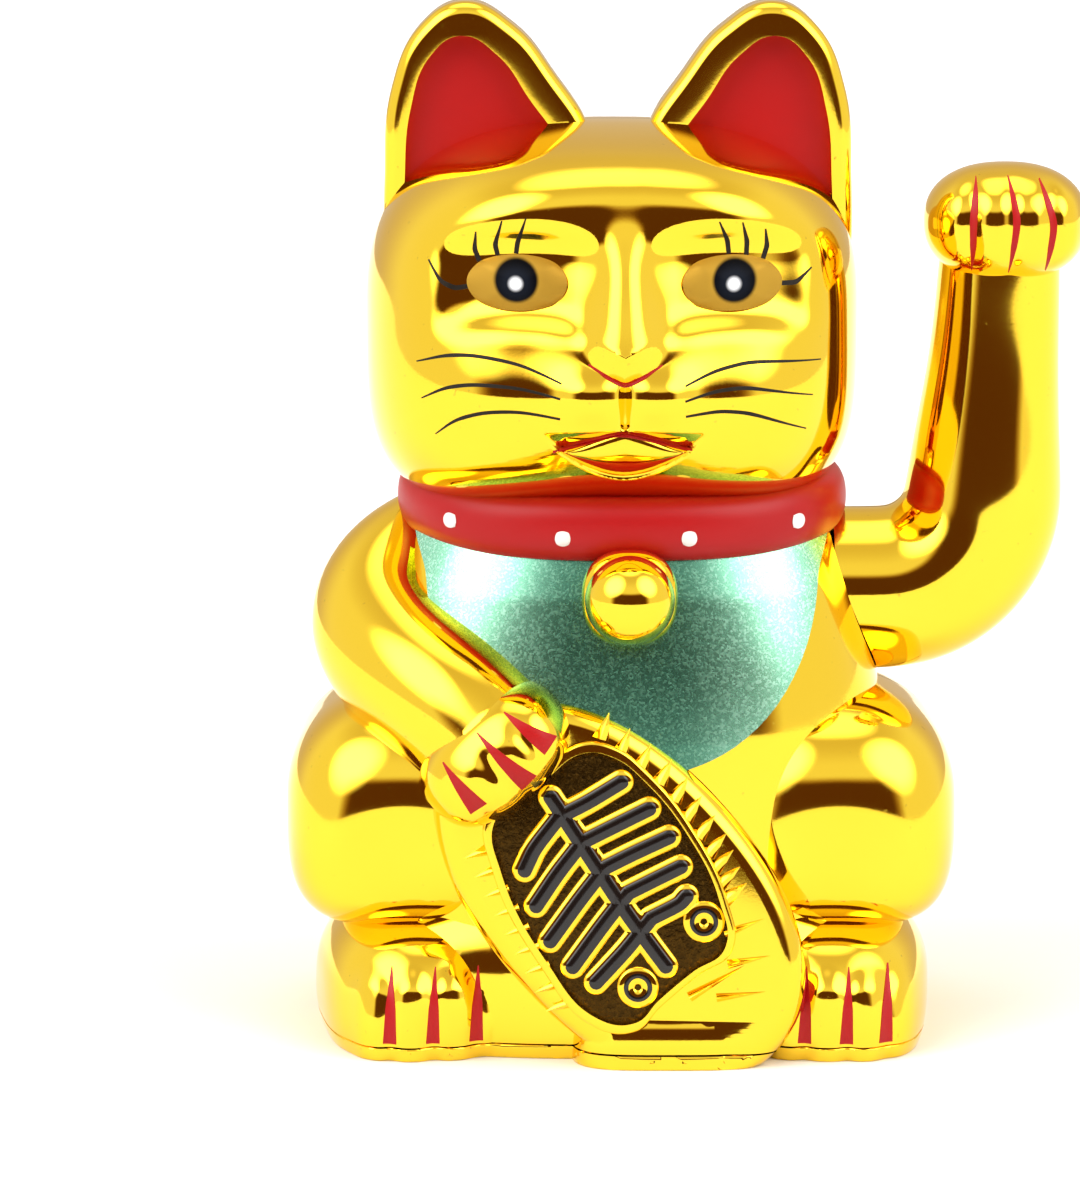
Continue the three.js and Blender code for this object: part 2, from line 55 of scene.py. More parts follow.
# Head: a hollow moulded form, squarer below, where it sits on the collar, than on top. The
# nose, brows, eye hollows, muzzle and lips are part of the moulding.
# Pieces are modelled in millimetres and brought to metres when they are finished.
def only(*objects):
    if bpy.context.mode != "OBJECT":
        bpy.ops.object.mode_set(mode="OBJECT")
    bpy.ops.object.select_all(action="DESELECT")
    for o in objects:
        o.select_set(True)
    bpy.context.view_layer.objects.active = objects[0]
    return objects[0]


def points_of(piece):
    found = np.empty(len(piece.data.vertices) * 3)
    piece.data.vertices.foreach_get("co", found)
    return found.reshape(-1, 3)


def move_points(piece, points):
    piece.data.vertices.foreach_set("co", np.ascontiguousarray(points).ravel())
    piece.data.update()
    return piece


def started(name, add, **sizes):
    """A new primitive under its name, with nothing else selected."""
    bpy.ops.object.select_all(action="DESELECT")
    add(**sizes)
    piece = bpy.context.object
    piece.name = name
    return piece


def rounded(name, centre, radii, power=2.0, around=96, rings=64, depth_power=None):
    """An ellipsoid that turns boxy as its power grows. A pair of powers is (above, below), and a
    pair for the middle radius is (front, back)."""
    piece = started(name, bpy.ops.mesh.primitive_uv_sphere_add, segments=around, ring_count=rings, radius=1)
    ray = points_of(piece)
    top, bottom = power if isinstance(power, tuple) else (power, power)
    p = bottom + (top - bottom) * (0.5 + 0.5 * np.tanh(4 * ray[:, 2]))
    q = depth_power or p
    low, high = np.zeros(len(ray)), np.full(len(ray), 2.0)
    halvings = 30
    for _ in range(halvings):
        k = (low + high) / 2
        x, y, z = np.abs(ray.T * k)
        inside = x**p + z**p + y**q < 1
        low, high = np.where(inside, k, low), np.where(inside, high, k)
    front, back = radii[1] if isinstance(radii[1], tuple) else (radii[1], radii[1])
    reach = np.stack([np.full(len(ray), radii[0]), np.where(ray[:, 1] < 0, front, back),
                      np.full(len(ray), radii[2])], axis=1)
    return move_points(piece, ray * low[:, None] * reach + np.array(centre))


def combine(piece, others, operation="UNION"):
    for other in others if isinstance(others, (list, tuple)) else [others]:
        only(piece)
        step = piece.modifiers.new(operation.lower(), "BOOLEAN")
        step.operation, step.solver, step.object = operation, "MANIFOLD", other
        bpy.ops.object.modifier_apply(modifier=step.name)
        bpy.data.objects.remove(other)
    return piece


def hump(u, width, power=2.0):
    return np.exp(-(np.abs(u / width) ** power))


def ramp(u, start, end):
    t = np.clip((u - start) / (end - start), 0, 1)
    return t * t * (3 - 2 * t)


def face(points):
    """Moves the front of the head forward or back to form the features."""
    forehead_z, eye_z, nose_z, pad_z, muzzle_z, lip_z, chin_z = 127.5, 112.8, 98.5, 97.0, 95.6, 91.6, 84.3
    eye_side, pad_side, mouth_side = 14.8, 4.9, 11.8
    x, y, z = points[:, 0] - 0.1, points[:, 1], points[:, 2]
    side = np.abs(x)
    front = ramp(-y, 6, 20)
    out = 1.4 * hump(x, 11, 4) * hump(z - 99, 13, 4)                        # ridge under the nose
    out += 2.8 * hump(side, 25, 4) * hump(z - muzzle_z, 7.2)                # muzzle and cheeks
    out += 1.4 * hump(side - pad_side, 4.0, 2.6) * hump(z - pad_z, 3.2, 2.6)    # whisker pads
    out -= 0.9 * hump(x, 0.7) * ramp(z, 91.8, 92.5) * (1 - ramp(z, 97.5, 99))   # groove above the lip
    aside = side - eye_side
    out -= 3.2 * hump(aside, 10.6, 5) * hump(z - eye_z + 0.012 * aside**2, 6.4, 5)  # eye hollows
    out += 4.2 * hump(x, 25, 4) * hump(z - forehead_z + 0.008 * side**2, 6)
    height = 0.6 + 4.9 * np.clip((122 - z) / 23, 0, 1) ** 1.6
    width = 2.8 + 2.2 * ramp(115 - z, 0, 11)
    underside = np.clip((z - nose_z - 0.5 * side) / 4.2, 0, 1)
    out += height * hump(x, width, 3) * underside * (1 - 0.6 * ramp(z, 116, 124))   # nose
    line, low = lip_z - 0.3 * side, chin_z + 6.9 * np.clip(side / mouth_side, 0, 1) ** 1.8
    tucked = np.clip((lip_z + 0.3 - 0.03 * side - z) / (0.3 + 0.27 * side), 0, 1)
    lip = np.clip((line - z) / np.maximum(line - low, 0.3), 0, 1)
    within = ramp(z - low, -0.4, 0.7) * (1 - ramp(side, mouth_side - 1, mouth_side + 0.4))
    out += (1.9 * np.sin(math.pi * lip) ** 0.8 - 1.3 * tucked) * within     # mouth
    moved = points.copy()
    moved[:, 1] -= front * out
    return moved


HEAD = dict(centre=(-1.35, -0.5, 104.2), radii=(35.9, 33, 28.6))
outside = rounded("front_shell", **HEAD, power=(2.7, 3.9), depth_power=2.25, around=360, rings=180)
middles = np.array([tuple(polygon.center) for polygon in outside.data.polygons])
fine = (np.abs(middles[:, 0]) < 14) & (middles[:, 1] < -18) & (np.abs(middles[:, 2] - 92) < 11)
only(outside)
bpy.ops.object.mode_set(mode="EDIT")
bpy.ops.mesh.select_all(action="DESELECT")
bpy.ops.mesh.select_mode(type="FACE")
bpy.ops.object.mode_set(mode="OBJECT")
outside.data.polygons.foreach_set("select", fine)
bpy.ops.object.mode_set(mode="EDIT")
bpy.ops.mesh.subdivide(number_cuts=2)
bpy.ops.object.mode_set(mode="OBJECT")
move_points(outside, face(points_of(outside)))


# Ears: flat, thick-rimmed ears moulded with the head in the parting plane; each has a sunk
# floor in front, which is painted.
def bent_outline(points, name):
    """A closed flat Bezier outline in XZ; every point is (x, z) or (x, z, 'VECTOR')."""
    line = bpy.data.curves.new(name, "CURVE")
    line.dimensions, line.fill_mode, line.resolution_u = "2D", "BOTH", 14
    loop = line.splines.new("BEZIER")
    loop.bezier_points.add(len(points) - 1)
    loop.use_cyclic_u = True
    for spot, (x, z, *kind) in zip(loop.bezier_points, points):
        spot.co = (x, z, 0)
        spot.handle_left_type = spot.handle_right_type = kind[0] if kind else "AUTO"
    return line


def in_edit_mode(piece, operator, **settings):
    """Runs one edit-mode operator on the whole of a piece."""
    only(piece)
    bpy.ops.object.mode_set(mode="EDIT")
    bpy.ops.mesh.select_all(action="SELECT")
    operator(**settings)
    bpy.ops.object.mode_set(mode="OBJECT")
    return piece


def merged(piece):
    return in_edit_mode(piece, bpy.ops.mesh.remove_doubles, threshold=0.002)


def outward(piece):
    return in_edit_mode(piece, bpy.ops.mesh.normals_make_consistent, inside=False)


def slab(line, front, back, edge=0.0, steps=6):
    """The flat outline given its depth along Y, with rounded edges, as a closed mesh."""
    line.extrude, line.bevel_depth, line.bevel_resolution = (back - front) / 2 - edge, edge, steps
    line.offset = -edge
    piece = bpy.data.objects.new(line.name, line)
    bpy.context.collection.objects.link(piece)
    only(piece)
    bpy.ops.object.convert(target="MESH")
    upright = Matrix.Rotation(math.pi / 2, 4, "X")
    piece.data.transform(Matrix.Translation((0, (front + back) / 2, 0)) @ upright)
    return outward(merged(piece))


EAR = [(34, 106, "VECTOR"), (34, 124), (32.9, 137.5), (28.6, 146.6), (22.4, 150),
       (15.2, 146.6), (9.2, 139.4), (3.9, 130.6), (3, 116, "VECTOR")]
EAR_LINING = [(31.2, 106, "VECTOR"), (31, 124), (30.1, 134.5), (27.2, 142.2), (22.8, 145.1),
              (17.4, 142.2), (12.9, 136), (8.6, 129.5), (5.6, 116, "VECTOR")]
EAR_FRONT, EAR_BACK, LINING_DEPTH = -5.2, 5.2, 2.9


def ear_outline(points, side, name):
    return bent_outline([(side * x - 0.5, z, *kind) for x, z, *kind in points], name)


for side in (-1, 1):
    whole = slab(ear_outline(EAR, side, "ear"), EAR_FRONT, EAR_BACK, edge=2.2)
    hollow = slab(ear_outline(EAR_LINING, side, "ear_hollow"), EAR_FRONT - 3, EAR_FRONT + LINING_DEPTH,
                  edge=0.5, steps=3)
    combine(whole, hollow, "DIFFERENCE")
    combine(outside, whole)


# Torso: chest and back, moulded with the head, narrow at the neck and spreading to the hips.
# The shells are blow-thin plated plastic, so the section stays smooth and squarish.
def stacked_rings(name, around, number):
    """A closed tube of rings that still lie in one place, and its points ring by ring."""
    piece = started(name, bpy.ops.mesh.primitive_circle_add, vertices=around, radius=1, fill_type="NGON")
    bpy.ops.object.mode_set(mode="EDIT")
    for _ in range(number - 1):
        bpy.ops.mesh.extrude_region_move()
    bpy.ops.object.mode_set(mode="OBJECT")
    return piece, points_of(piece).reshape(-1, around, 3)


def eased(values, passes):
    """Smooths the values between the first and the last."""
    for _ in range(passes):
        values[1:-1] = (values[:-2] + 2 * values[1:-1] + values[2:]) / 4


def turned(name, stations, front, back, around=160):
    """A body with a squarish round section at each (height, radius), flatter front and back."""
    between, power = 8, 2.5
    steps = []
    for (z0, r0), (z1, r1) in zip(stations, stations[1:]):
        steps += [(z0 + (z1 - z0) * i / between, r0 + (r1 - r0) * i / between) for i in range(between)]
    steps.append(stations[-1])
    heights, radii = np.array(steps).T
    eased(radii, 24)
    piece, rings = stacked_rings(name, around, len(heights))
    for ring, z, r in zip(rings, heights, radii):
        square = (np.abs(ring[:, :2]) ** power).sum(axis=1) ** (-1 / power)
        ring[:, 0] *= r * square
        ring[:, 1] *= r * square * np.where(ring[:, 1] < 0, front, back)
        ring[:, 2] = z
    return outward(move_points(piece, rings.reshape(-1, 3)))


TORSO = [(-6, 37), (10, 38.5), (30, 39.5), (46, 38.8), (56, 37.4), (66, 34.4), (74, 31.0), (84, 26)]
TORSO_FRONT, TORSO_BACK = 0.83, 0.86
combine(outside, turned("torso", TORSO, front=TORSO_FRONT, back=TORSO_BACK))


# Hips, haunches and feet: moulded with the shells. The haunch bulges over the foot, with a
# sharp crease between them, and arches over the toes leave gaps for the painted claws.
combine(outside, rounded("hips", (0, 0, 8), (43.8, 33.4, 20), power=2.8, around=144, rings=72))
FOOT_MIDDLE, FOOT_TURN = {-1: 30.0, 1: 30.8}, {-1: math.radians(9), 1: math.radians(4)}
TOE_GAPS, TOE_HALF = {-1: (-33.3, -27.1, -20.9), 1: (26.3, 32.3, 38)}, 3
for side in (-1, 1):
    haunch = rounded("haunch", (side * 31.2, -8, 33.6), (17.8, (23, 33), 17.6), power=(2.3, 3.5),
                     around=192, rings=128, depth_power=3.1)
    foot = rounded("foot", (0, 0, 7.5), (14.4, 21, 13.2), power=(2.3, 3), around=320, rings=128)
    foot.data.transform(Matrix.Translation((side * FOOT_MIDDLE[side], -13.4, 0))
                        @ Matrix.Rotation(-side * FOOT_TURN[side], 4, "Z"))
    points = points_of(foot)
    x, y, z = points.T
    gaps = TOE_GAPS[side]
    for middle in (gaps[0] - TOE_HALF, *(gap + TOE_HALF for gap in gaps)):
        drop = 0.2 * (x - middle) ** 2
        arch = 1 - ramp(z, 10.5 - drop, 14.2 - drop)
        y -= 1.1 * hump(x - middle, 2.5, 3) * arch * ramp(-y, 14, 24)
    move_points(foot, points)
    combine(outside, [haunch, foot])


# Resting arm: moulded with the body, from the shoulder over the belly. Its paw holds the
# coin, and its fingers are parted by shallow grooves.
def swept(name, path, radii, around=72, flat=1.0, steps=40, passes=28):
    """A round limb along a smooth path, with domed ends; flat is its depth over its width."""
    path = np.array(path, float)
    spots, corners = np.linspace(0, len(path) - 1, steps), np.arange(len(path))
    line = np.stack([np.interp(spots, corners, path[:, i]) for i in range(3)], axis=1)
    thick = np.interp(spots, corners, radii)
    eased(line, passes)
    eased(thick, passes)
    first, last = line[0] - line[1], line[-1] - line[-2]
    first, last = first / np.linalg.norm(first), last / np.linalg.norm(last)
    dome_rings, least = 14, 0.02
    turns = np.linspace(0, math.pi / 2, dome_rings)[1:]
    head = [(line[0] + first * thick[0] * math.sin(t), thick[0] * math.cos(t)) for t in turns[::-1]]
    tail = [(line[-1] + last * thick[-1] * math.sin(t), thick[-1] * math.cos(t)) for t in turns]
    places = np.array([p for p, _ in head] + list(line) + [p for p, _ in tail])
    sizes = [max(r, least) for _, r in head] + list(thick) + [max(r, least) for _, r in tail]
    piece, rings = stacked_rings(name, around, len(places))
    along = np.gradient(places, axis=0)
    across = np.cross(along[0], (0, 1, 0.01))
    for ring, place, way, r in zip(rings, places, along, sizes):
        way = way / np.linalg.norm(way)
        across = across - way * (across @ way)
        across /= np.linalg.norm(across)
        up = np.cross(way, across)
        ring[:] = place + r * (ring[:, :1] * across + ring[:, 1:2] * up * flat)
    return outward(move_points(piece, rings.reshape(-1, 3)))


ARM_PATH = [(-22, 4, 69), (-31, -2, 65.5), (-35.2, -9, 59), (-30.5, -18, 54.8), (-24.3, -25, 51.4),
            (-18.8, -28.5, 46.6)]
combine(outside, swept("resting_arm", ARM_PATH, [11, 12.2, 12.4, 12.2, 11.8, 11.2], flat=0.92))
PAW_X, PAW_Z, PAW_FRONT, PAW_HALF_DEPTH, PAW_TURN = -18.2, 44.8, -41.5, 10.5, math.radians(48)
paw = rounded("paw", (0, 0, 0), (7.8, PAW_HALF_DEPTH, 11.8), power=2.5, around=192, rings=128)
points = points_of(paw)
u, y, v = points.T
FINGERS = (8.6, 2.9, -3.3, -9.4)
for middle in FINGERS:
    y -= 0.9 * hump(v - middle, 2.5, 3) * ramp(-y, 3, 8) * ramp(u, -5, 0)
move_points(paw, points)
paw.data.transform(Matrix.Translation((PAW_X, PAW_FRONT + PAW_HALF_DEPTH, PAW_Z))
                   @ Matrix.Rotation(PAW_TURN, 4, "Y"))
combine(outside, paw)


# Coin: an oval plate with a broad sloping edge, moulded on the belly and running into the
# base. Its raised tablet and motif follow further down.
def oval(centre, long, wide, turn, name):
    """A closed flat outline in XZ, a little squarer than an ellipse."""
    power, steps = 2.2, 96
    line = bpy.data.curves.new(name, "CURVE")
    line.dimensions, line.fill_mode = "2D", "BOTH"
    loop = line.splines.new("POLY")
    loop.points.add(steps - 1)
    loop.use_cyclic_u = True
    for i, spot in enumerate(loop.points):
        t = 2 * math.pi * i / steps
        c, s = math.cos(t), math.sin(t)
        k = (abs(c) ** power + abs(s) ** power) ** (-1 / power)
        u, v = c * k * long, s * k * wide
        spot.co = (centre[0] + u * math.cos(turn) - v * math.sin(turn),
                   centre[1] + u * math.sin(turn) + v * math.cos(turn), 0, 1)
    return line


COIN_TURN, COIN_LEAN, COIN_FRONT, COIN_X, COIN_Z = math.radians(-48), math.radians(5), -36.6, -0.5, 24.6
lean = (Matrix.Translation((0, COIN_FRONT, COIN_Z)) @ Matrix.Rotation(-COIN_LEAN, 4, "X")
        @ Matrix.Translation((0, 0, -COIN_Z)))
coin = slab(oval((-0.3, 25.0), 32.0, 19.4, COIN_TURN, "coin"), 0, 16, edge=3.4, steps=8)
coin.data.transform(lean)
combine(outside, coin)
combine(outside, rounded("coin_foot", (6.5, -25, 0), (14, 14, 10), power=4, around=96, rings=64))


# Tail: a short curl moulded on the back shell, beside the seat. It is plated with the rest.
TAIL_PATH = [(0, 27, 8), (6, 31, 9), (12, 32, 14), (13, 31, 21), (9, 30.5, 25), (5, 30.5, 22)]
combine(outside, swept("tail", TAIL_PATH, [5, 5, 4.8, 4.4, 4, 3.4], around=48))


# Casing: two vacuum-plated gold shells, hollow, parted down the sides and glued over pins. The
# base plate closes them from below, and the waving arm turns in a flat seat on one side.
WALL, HALF_GAP, SHELL_FOOT, BASE_TOP = 1.8, 0.15, 2.3, 2.0
AXIS, SEAT_X, SEAT_RADIUS, AXLE_HOLE = 63.5, 30.8, 12.6, 3.5


def box_between(low, high, name="box"):
    low, high = Vector(low), Vector(high)
    piece = started(name, bpy.ops.mesh.primitive_cube_add, size=1, location=(0, 0, 0))
    piece.data.transform(Matrix.Translation((low + high) / 2) @ Matrix.Diagonal((*(high - low), 1)))
    return piece


def shoulder_rod(radius, start, end, around=64):
    """A cylinder along X, on the axis that the arm turns about."""
    rod = started("rod", bpy.ops.mesh.primitive_cylinder_add, vertices=around, radius=radius,
                  depth=end - start)
    place = Matrix.Translation(((start + end) / 2, 0, AXIS))
    rod.data.transform(place @ Matrix.Rotation(math.pi / 2, 4, "Y"))
    return rod


def twin(piece, name):
    copy = piece.copy()
    copy.data = piece.data.copy()
    copy.name = name
    bpy.context.collection.objects.link(copy)
    return copy


plate_form = combine(twin(outside, "base_plate_visual"),
                     box_between((-70, -60, 0), (70, 60, BASE_TOP)), "INTERSECT")
combine(outside, box_between((-70, -60, -20), (70, 60, SHELL_FOOT)), "DIFFERENCE")
combine(outside, shoulder_rod(SEAT_RADIUS, SEAT_X, 80, around=128), "DIFFERENCE")
skin = twin(outside, "skin")

INNER_TORSO = [(-6, 34.5), (10, 36), (30, 37), (46, 36.5), (56, 34.5), (66, 31.2), (74, 27.4), (84, 23)]
HEAD_TAPER = 1.6
inner = rounded("inner", HEAD["centre"], [r - WALL - HEAD_TAPER for r in HEAD["radii"]], power=(2.7, 3.6),
                around=64, rings=40, depth_power=2.35)
combine(inner, turned("inner_torso", INNER_TORSO, front=0.82, back=0.85, around=48))
combine(inner, rounded("inner_hips", (0, 0, 8), (41.4, 31, 17.8), power=2.7, around=64, rings=36))
for side in (-1, 1):
    combine(inner, rounded("inner_haunch", (side * 31.2, -8, 33.6), (15.6, (20.6, 30.6), 15.4), power=2.2,
                           around=48, rings=32))
for side in (-1, 1):
    combine(inner, rounded("inner_foot", (side * 30, -13, 7), (11.4, 17.6, 10.8), power=(2.2, 3),
                           around=48, rings=32))
combine(inner, rounded("inner_coin_foot", (6.5, -25, 0), (11.6, 11.4, 8), power=3.4, around=48, rings=32))
combine(outside, inner, "DIFFERENCE")
combine(outside, shoulder_rod(AXLE_HOLE, 28, 40), "DIFFERENCE")
back_shell = twin(outside, "back_shell_visual")
front_shell = outside
front_shell.name = "front_shell_visual"
combine(front_shell, box_between((-70, -HALF_GAP, -5), (70, 60, 160)), "DIFFERENCE")
combine(back_shell, box_between((-70, -60, -5), (70, HALF_GAP, 160)), "DIFFERENCE")


class Wire:
    """One output of a shader node. Arithmetic on it adds Math nodes."""

    def __init__(self, nodes, socket):
        self.nodes, self.socket = nodes, socket

    def maths(self, operation, first, second=0.0):
        return self.nodes.node("Math", {"operation": operation}, {0: first, 1: second})

    def __add__(self, other):
        return self.maths("ADD", self, other)

    __radd__ = __add__

    def __sub__(self, other):
        return self.maths("SUBTRACT", self, other)

    def __rsub__(self, other):
        return self.maths("SUBTRACT", other, self)

    def __mul__(self, other):
        return self.maths("MULTIPLY", self, other)

    __rmul__ = __mul__

    def __truediv__(self, other):
        return self.maths("DIVIDE", self, other)

    def __abs__(self):
        return self.maths("ABSOLUTE", self)

    def over(self, level):
        return self.maths("GREATER_THAN", self, level)


class Nodes:
    """A node tree; node() adds one node and returns one of its outputs."""

    def __init__(self, tree):
        self.tree = tree

    def link(self, value, socket):
        if isinstance(value, Wire):
            self.tree.links.new(value.socket, socket)
        else:
            socket.default_value = value

    def node(self, kind, settings=(), values=(), output=0):
        node = self.tree.nodes.new("ShaderNode" + kind)
        for setting, value in dict(settings).items():
            setattr(node, setting, value)
        for socket, value in dict(values).items():
            self.link(value, node.inputs[socket])
        return Wire(self, node.outputs[output])

    def place(self):
        return self.node("TexCoord", output="Object")

    def noise(self, scale, detail=2.0):
        return self.node("TexNoise", {}, {"Vector": self.place(), "Scale": scale, "Detail": detail})

    def step(self, value, start, end):
        """Rises smoothly from 0 to 1 as the value goes from start to end."""
        return self.node("MapRange", {"interpolation_type": "SMOOTHSTEP"}, {0: value, 1: start, 2: end})

    def mix(self, factor, first, second):
        return self.node("Mix", {"data_type": "RGBA"}, {0: factor, 6: first, 7: second}, output=2)

    def bump(self, height, distance, strength=1.0):
        return self.node("Bump", {}, {"Height": height, "Distance": distance, "Strength": strength})


class Finish(Nodes):
    """A named material; wear() links or sets the sockets of its surface."""

    def __init__(self, name):
        self.material = bpy.data.materials.new(name)
        self.material.use_nodes = True
        super().__init__(self.material.node_tree)

    def wear(self, values):
        for socket, value in values.items():
            self.link(value, self.tree.nodes["Principled BSDF"].inputs[socket])
        return self.material


def gold_finish():
    gold = Finish("gold_chrome")
    cloud = gold.noise(55, 3)
    grain = gold.noise(2400, 2)
    dust = gold.step(gold.noise(900, 1), 0.74, 0.80)
    tone = gold.mix(cloud, (1.0, 0.69, 0.050, 1), (0.98, 0.64, 0.040, 1))
    return gold.wear({"Base Color": gold.mix(dust * 0.35, tone, (0.55, 0.33, 0.05, 1)), "Metallic": 1.0,
                      "Roughness": 0.045 + 0.04 * cloud + 0.10 * dust,
                      "Normal": gold.bump(grain, 0.00002, 0.06)})


TO_METRES, SHARPEST = Matrix.Scale(0.001, 4), math.radians(35)


def finished(piece, material, body="casing"):
    """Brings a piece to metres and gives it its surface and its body."""
    piece.data.transform(TO_METRES)
    only(piece)
    bpy.ops.object.shade_smooth_by_angle(angle=SHARPEST)
    piece.data.materials.clear()
    piece.data.materials.append(material)
    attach(piece, body)
    return piece


gold_chrome = gold_finish()
for shell, node in ((front_shell, "front_shell"), (back_shell, "back_shell")):
    finished(shell, gold_chrome)
    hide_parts(node)


# Ear linings: red paint, sprayed through a mask on the sunk floor of each ear. It is slightly
# satin beside the plating.
def red_paint():
    red = Finish("red_paint")
    cloud = red.noise(70, 3)
    fine = red.noise(1800, 2)
    return red.wear({"Base Color": red.mix(cloud, (0.42, 0.003, 0.004, 1), (0.35, 0.002, 0.003, 1)),
                     "Roughness": 0.36 + 0.10 * cloud, "Normal": red.bump(fine, 0.00003, 0.25), "IOR": 1.36})


red = red_paint()
for side, name in ((-1, "ear_lining_right"), (1, "ear_lining_left")):
    floor_y = EAR_FRONT + LINING_DEPTH
    paint = slab(ear_outline(EAR_LINING, side, name), floor_y - 0.25, floor_y + 0.2, edge=0.12, steps=2)
    finished(paint, red)


# Eyes: raised almond forms on the face, pad-printed in amber with a dark pupil and a white
# glint, soft at the edges.
front_of = BVHTree.FromObject(skin, bpy.context.evaluated_depsgraph_get())


def laid(name, columns, rows, shape, thick, target=front_of, sink=0.25, dome=0.0):
    """A thin sheet over the target. shape turns u and v, both -1 to 1, into X and Z."""
    piece = started(name, bpy.ops.mesh.primitive_grid_add, x_subdivisions=columns, y_subdivisions=rows,
                    size=2)
    points = points_of(piece)
    u, v = points[:, 0].copy(), points[:, 1].copy()
    points[:, 0], points[:, 2] = shape(u, v)
    before, backwards = -90, Vector((0, 1, 0))
    for point in points:
        hit = target.ray_cast(Vector((point[0], before, point[2])), backwards)[0]
        point[1] = hit.y if hit else 0
    edge = 1 - np.clip(np.maximum(np.abs(u), np.abs(v)), 0, 1) ** 2
    points[:, 1] += sink - dome * edge
    move_points(piece, points)
    only(piece)
    wall = piece.modifiers.new("wall", "SOLIDIFY")
    wall.thickness, wall.offset = thick + sink, 1
    bpy.ops.object.modifier_apply(modifier="wall")
    return piece


def disc(u, v):
    """Spreads the square -1 to 1 over the unit disc."""
    return u * np.sqrt(1 - v**2 / 2), v * np.sqrt(1 - u**2 / 2)


def inside_loop(corners):
    """A shape for laid(): the smooth closed loop through the corners, filled from its middle."""
    samples = 220
    knots = np.array(corners, float)
    t = np.linspace(0, len(knots), samples, endpoint=False)
    i, f = t.astype(int), (t % 1)[:, None]
    a, b, c, d = (knots[(i + k) % len(knots)] for k in (-1, 0, 1, 2))
    line = 0.5 * (2 * b + (c - a) * f + (2 * a - 5 * b + 4 * c - d) * f**2 + (3 * b - a - 3 * c + d) * f**3)
    middle = line.mean(axis=0)
    turn = np.arctan2(*(line - middle).T[::-1])
    reach = np.linalg.norm(line - middle, axis=1)
    order = np.argsort(turn)

    def shape(u, v):
        x, z = disc(u, v)
        r = np.interp(np.arctan2(z, x), turn[order], reach[order], period=2 * math.pi)
        return middle[0] + x * r, middle[1] + z * r
    return shape


def amber_eye(name, x, z):
    """Amber with a pupil at (x, z), which is in millimetres, and a glint on the pupil."""
    eye = Finish(name)
    spot = eye.node("VectorMath", {"operation": "SUBTRACT"}, {0: eye.place(), 1: (x / 1000, 0, z / 1000)})
    flat = eye.node("VectorMath", {"operation": "MULTIPLY"}, {0: spot, 1: (1000, 0, 1000)})
    far = eye.node("VectorMath", {"operation": "LENGTH"}, {0: flat}, output="Value")
    glint = eye.node("VectorMath", {"operation": "SUBTRACT"}, {0: flat, 1: (-0.1, 0, -0.45)})
    near = eye.node("VectorMath", {"operation": "LENGTH"}, {0: glint}, output="Value")
    amber = eye.mix(eye.noise(60), (0.36, 0.20, 0.024, 1), (0.46, 0.27, 0.032, 1))
    pupil = eye.mix(eye.step(near, 1.35, 3.2), (0.006, 0.008, 0.014, 1), (0.001, 0.001, 0.002, 1))
    painted = eye.mix(eye.step(far, 2.75, 3.45), pupil, amber)
    return eye.wear({"Base Color": eye.mix(eye.step(near, 0.5, 1.3), (0.86, 0.88, 0.92, 1), painted),
                     "Roughness": 0.42, "IOR": 1.12, "Metallic": 0.3 * eye.step(far, 3, 4)})


EYES = {"eye_right": (-15.0, 112.3, -15.2), "eye_left": (15.2, 112.2, 15.6)}
EYE_HALF_WIDTH, EYE_HALF_HEIGHT, EYE_DROP = 6.9, 3.6, 0.3
for name, (x, z, pupil_x) in EYES.items():
    def almond(u, v, x=x, z=z):
        a, b = disc(u, v)
        return x + EYE_HALF_WIDTH * a, z - EYE_DROP + EYE_HALF_HEIGHT * b * (1 - 0.10 * np.abs(a) ** 3)
    finished(laid(name, 40, 30, almond, 0.35, dome=1.6), amber_eye("amber_" + name, pupil_x, z + 0.25))


# Lashes, lid lines and whiskers: fine strokes of dark ink, printed on the plated face. They
# swell a little in the middle and end in a point.
def along_stroke(path, widths):
    """A shape for laid(): a strip along a smooth path, of a width that varies."""
    path, samples = np.array(path, float), 60
    steps = np.linspace(0, len(path) - 1, samples)
    line = np.stack([np.interp(steps, range(len(path)), path[:, i]) for i in (0, 1)], axis=1)
    eased(line, 40)
    way = np.gradient(line, axis=0)
    way /= np.linalg.norm(way, axis=1)[:, None]
    wide = np.interp(steps, np.linspace(0, len(path) - 1, len(widths)), widths) / 2

    def shape(u, v):
        s = (u + 1) / 2 * (samples - 1)
        x, z, tx, tz, w = (np.interp(s, range(samples), a) for a in (*line.T, *way.T, wide))
        return x - tz * w * v, z + tx * w * v
    return shape


def dark_print():
    ink = Finish("dark_print")
    patchy = ink.noise(900, 3)
    return ink.wear({"Base Color": ink.mix(patchy, (0.006, 0.004, 0.003, 1), (0.018, 0.012, 0.006, 1)),
                     "Roughness": 0.35 + 0.2 * patchy, "IOR": 1.3})


